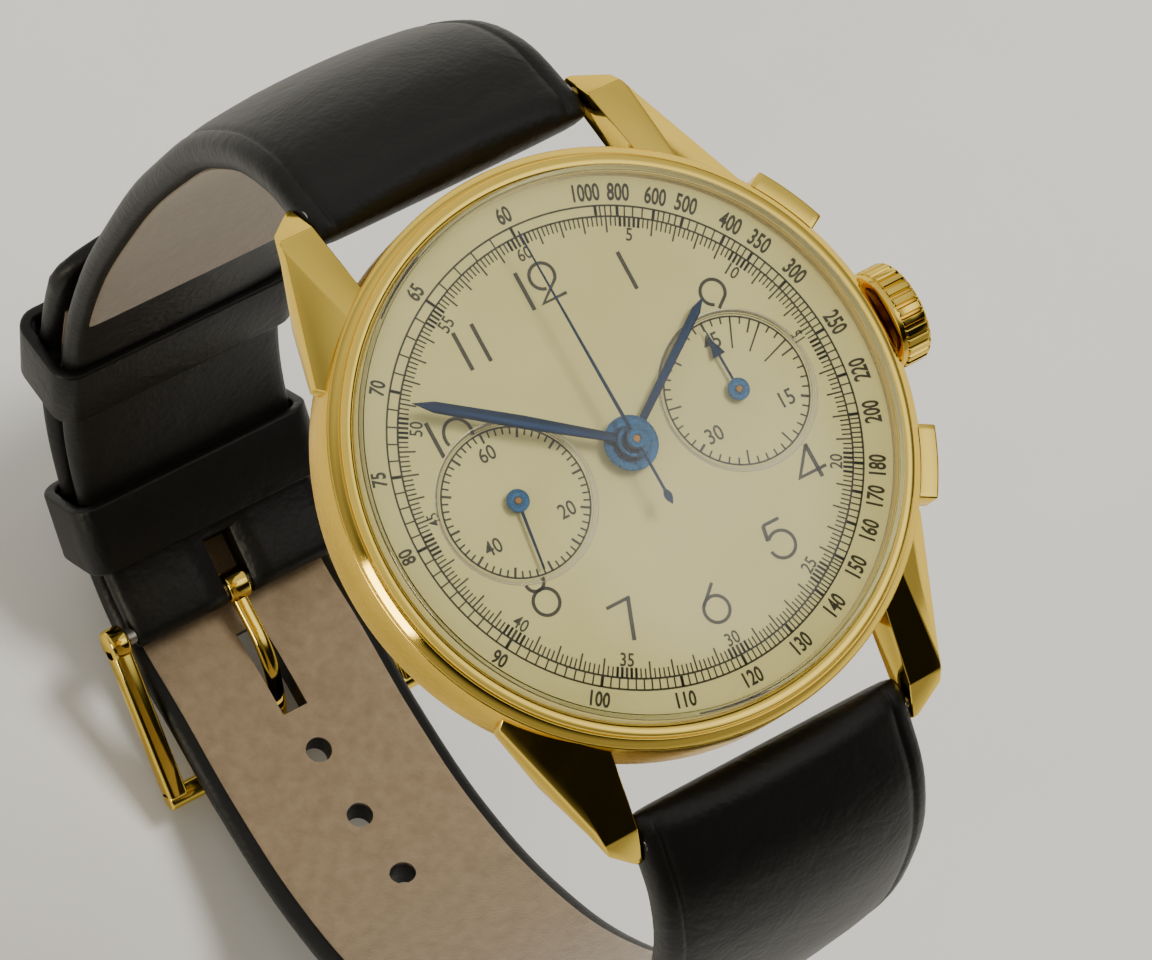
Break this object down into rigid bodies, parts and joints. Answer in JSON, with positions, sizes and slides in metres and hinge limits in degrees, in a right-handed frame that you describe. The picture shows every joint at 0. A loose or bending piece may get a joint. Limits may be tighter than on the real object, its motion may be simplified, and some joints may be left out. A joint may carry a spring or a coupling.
{
  "type": "chronograph wristwatch",
  "caption": "Hand-wound chronograph wristwatch with a faceted gold case, sunk small dials, crown, rectangular pushers and a buckled leather strap",
  "frame": {"origin": "centre of the flat outer face of the case back", "axes": "+X points to 3 o'clock and along the crown, +Y to 12 o'clock, +Z out of the dial"},
  "size_m": [0.0374, 0.0625, 0.0865],
  "materials": {
    "gold": "polished yellow gold",
    "gold_case": "yellow gold, brushed flank and polished lugs",
    "acrylic": "clear domed acrylic",
    "dial_finish": "champagne satin dial with printed scales",
    "blued_steel": "heat-blued polished steel",
    "leather": "black smooth calf with taupe nubuck lining",
    "rubber": "black rubber",
    "gilt_brass": "gilt brass",
    "steel": "polished steel"
  },
  "bodies": {
    "case": {"case_middle": "gold_case", "bezel": "gold", "crystal": "acrylic", "case_back": "gold", "case_back_gasket": "rubber", "dial": "dial_finish", "crown_tube": "steel", "pusher_tube_upper": "steel", "pusher_tube_lower": "steel", "strap_buckle_side": "leather", "strap_tail_side": "leather", "spring_bar_upper": "steel", "spring_bar_lower": "steel", "fixed_keeper": "leather", "buckle_bar": "steel", "mainplate": "gilt_brass", "barrel_bridge": "gilt_brass", "train_bridge": "gilt_brass", "balance_cock": "gilt_brass", "pallet_bridge": "gilt_brass", "case_screw_upper": "steel", "case_screw_lower": "steel", "click": "steel", "hairspring": "steel", "coupling_lever": "steel"},
    "crown_slider": {"crown_gasket": "rubber"},
    "crown": {"crown": "gold", "winding_stem": "steel", "sliding_pinion": "steel"},
    "pusher_upper": {"pusher_upper": "gold"},
    "pusher_lower": {"pusher_lower": "gold"},
    "fourth": {"fourth_wheel": "gilt_brass", "small_seconds_hand": "blued_steel"},
    "third": {"third_wheel": "gilt_brass"},
    "centre": {"centre_wheel": "gilt_brass", "cannon_pinion": "steel", "minute_hand": "blued_steel"},
    "minute_wheel": {"minute_wheel": "gilt_brass"},
    "hour": {"hour_wheel": "gilt_brass", "hour_hand": "blued_steel"},
    "barrel": {"barrel": "gilt_brass", "mainspring": "steel"},
    "escape": {"escape_wheel": "steel"},
    "coupling": {"coupling_wheel": "gilt_brass"},
    "chrono": {"chrono_runner": "gilt_brass", "chrono_seconds_hand": "blued_steel"},
    "counter": {"minute_recorder": "gilt_brass", "minute_counter_hand": "blued_steel"},
    "pallet": {"pallet_fork": "steel"},
    "balance": {"balance_wheel": "gilt_brass"},
    "column": {"column_wheel": "steel"},
    "crown_wheel": {"crown_wheel": "steel"},
    "ratchet": {"barrel_arbor": "steel", "ratchet_wheel": "steel"},
    "operating_lever": {"operating_lever": "steel"},
    "hammer": {"reset_hammer": "steel"},
    "sliding_keeper": {"sliding_keeper": "leather"},
    "buckle_frame": {"buckle_frame": "gold"},
    "tongue": {"buckle_tongue": "gold"}
  },
  "joints": [
    {"name": "crown_pull", "type": "slide", "parent": "case", "child": "crown_slider", "axis": [1, 0, 0], "range_m": [0, 0.0006]},
    {"name": "crown_turn", "type": "hinge", "parent": "crown_slider", "child": "crown", "pos_m": [0.018, 0, 0.0045], "axis": [1, 0, 0], "continuous": true},
    {"name": "crown_wheel_turn", "type": "hinge", "parent": "case", "child": "crown_wheel", "pos_m": [0.0041, 0.00355, 0.0017], "axis": [0, 0, -1], "continuous": true},
    {"name": "ratchet_turn", "type": "hinge", "parent": "case", "child": "ratchet", "pos_m": [0.00088, 0.00496, 0.0017], "axis": [0, 0, -1], "continuous": true},
    {"name": "pusher_upper_press", "type": "slide", "parent": "case", "child": "pusher_upper", "axis": [-0.8829, -0.4695, 0], "range_m": [0, 0.0008], "stiffness_N_per_m": 600, "springref_m": -0.002},
    {"name": "pusher_lower_press", "type": "slide", "parent": "case", "child": "pusher_lower", "axis": [-0.8829, 0.4695, 0], "range_m": [0, 0.0008], "stiffness_N_per_m": 600, "springref_m": -0.002},
    {"name": "operating_lever_swing", "type": "hinge", "parent": "case", "child": "operating_lever", "pos_m": [0.0092, 0.0092, 0.0016], "axis": [0, 0, 1], "range_deg": [-8, 0]},
    {"name": "hammer_swing", "type": "hinge", "parent": "case", "child": "hammer", "pos_m": [0.0098, -0.0026, 0.0016], "axis": [0, 0, 1], "range_deg": [-8, 0]},
    {"name": "seconds_turn", "type": "hinge", "parent": "case", "child": "fourth", "pos_m": [-0.00745, 0, 0.005], "axis": [0, 0, -1], "continuous": true},
    {"name": "third_turn", "type": "hinge", "parent": "case", "child": "third", "pos_m": [-0.00416, -0.00269, 0.004], "axis": [0, 0, -1], "continuous": true},
    {"name": "minute_turn", "type": "hinge", "parent": "case", "child": "centre", "pos_m": [0, 0, 0.005], "axis": [0, 0, -1], "continuous": true},
    {"name": "minute_wheel_turn", "type": "hinge", "parent": "case", "child": "minute_wheel", "pos_m": [0, -0.00264, 0.0053], "axis": [0, 0, -1], "continuous": true},
    {"name": "hour_turn", "type": "hinge", "parent": "case", "child": "hour", "pos_m": [0, 0, 0.006], "axis": [0, 0, -1], "continuous": true},
    {"name": "barrel_turn", "type": "hinge", "parent": "case", "child": "barrel", "pos_m": [0.00088, 0.00496, 0.0036], "axis": [0, 0, -1], "continuous": true},
    {"name": "escape_turn", "type": "hinge", "parent": "case", "child": "escape", "pos_m": [-0.00918, -0.003, 0.0033], "axis": [0, 0, -1], "continuous": true},
    {"name": "coupling_turn", "type": "hinge", "parent": "case", "child": "coupling", "pos_m": [-0.00457, 0.00216, 0.002], "axis": [0, 0, -1], "continuous": true},
    {"name": "chrono_turn", "type": "hinge", "parent": "case", "child": "chrono", "pos_m": [0, 0, 0.002], "axis": [0, 0, -1], "continuous": true},
    {"name": "counter_turn", "type": "hinge", "parent": "case", "child": "counter", "pos_m": [0.00745, 0, 0.002], "axis": [0, 0, -1], "continuous": true},
    {"name": "pallet_swing", "type": "hinge", "parent": "case", "child": "pallet", "pos_m": [-0.0076, -0.0057, 0.0033], "axis": [0, 0, 1], "range_deg": [-5, 5]},
    {"name": "balance_swing", "type": "hinge", "parent": "case", "child": "balance", "pos_m": [-0.0032, -0.0088, 0.0028], "axis": [0, 0, 1], "range_deg": [-135, 135], "stiffness_Nm_per_rad": 0.00000013},
    {"name": "column_turn", "type": "hinge", "parent": "case", "child": "column", "pos_m": [0.0044, 0.0094, 0.002], "axis": [0, 0, -1], "continuous": true},
    {"name": "sliding_keeper_slide", "type": "slide", "parent": "case", "child": "sliding_keeper", "axis": [0, 0.4226, 0.9063], "range_m": [-0.001, 0.0003]},
    {"name": "buckle_swing", "type": "hinge", "parent": "case", "child": "buckle_frame", "pos_m": [0, 0.0095, -0.0696], "axis": [1, 0, 0], "range_deg": [-1, 1]},
    {"name": "tongue_swing", "type": "hinge", "parent": "case", "child": "tongue", "pos_m": [0, 0.0095, -0.0696], "axis": [1, 0, 0], "range_deg": [-0.5, 1.5]}
  ],
  "couplings": [
    {"joint": "crown_wheel_turn", "follows": "crown_turn", "ratio": 0.66667},
    {"joint": "ratchet_turn", "follows": "crown_turn", "ratio": -0.4},
    {"joint": "operating_lever_swing", "follows": "pusher_upper_press", "rad_per_m": -164},
    {"joint": "hammer_swing", "follows": "pusher_lower_press", "rad_per_m": -164},
    {"joint": "third_turn", "follows": "seconds_turn", "ratio": -0.13333},
    {"joint": "minute_turn", "follows": "seconds_turn", "ratio": 0.016667},
    {"joint": "minute_wheel_turn", "follows": "seconds_turn", "ratio": -0.0055556},
    {"joint": "hour_turn", "follows": "seconds_turn", "ratio": 0.0013889},
    {"joint": "barrel_turn", "follows": "seconds_turn", "ratio": -0.0027778},
    {"joint": "escape_turn", "follows": "seconds_turn", "ratio": -10},
    {"joint": "coupling_turn", "follows": "seconds_turn", "ratio": -2},
    {"joint": "counter_turn", "follows": "chrono_turn", "ratio": 0.022222}
  ]
}
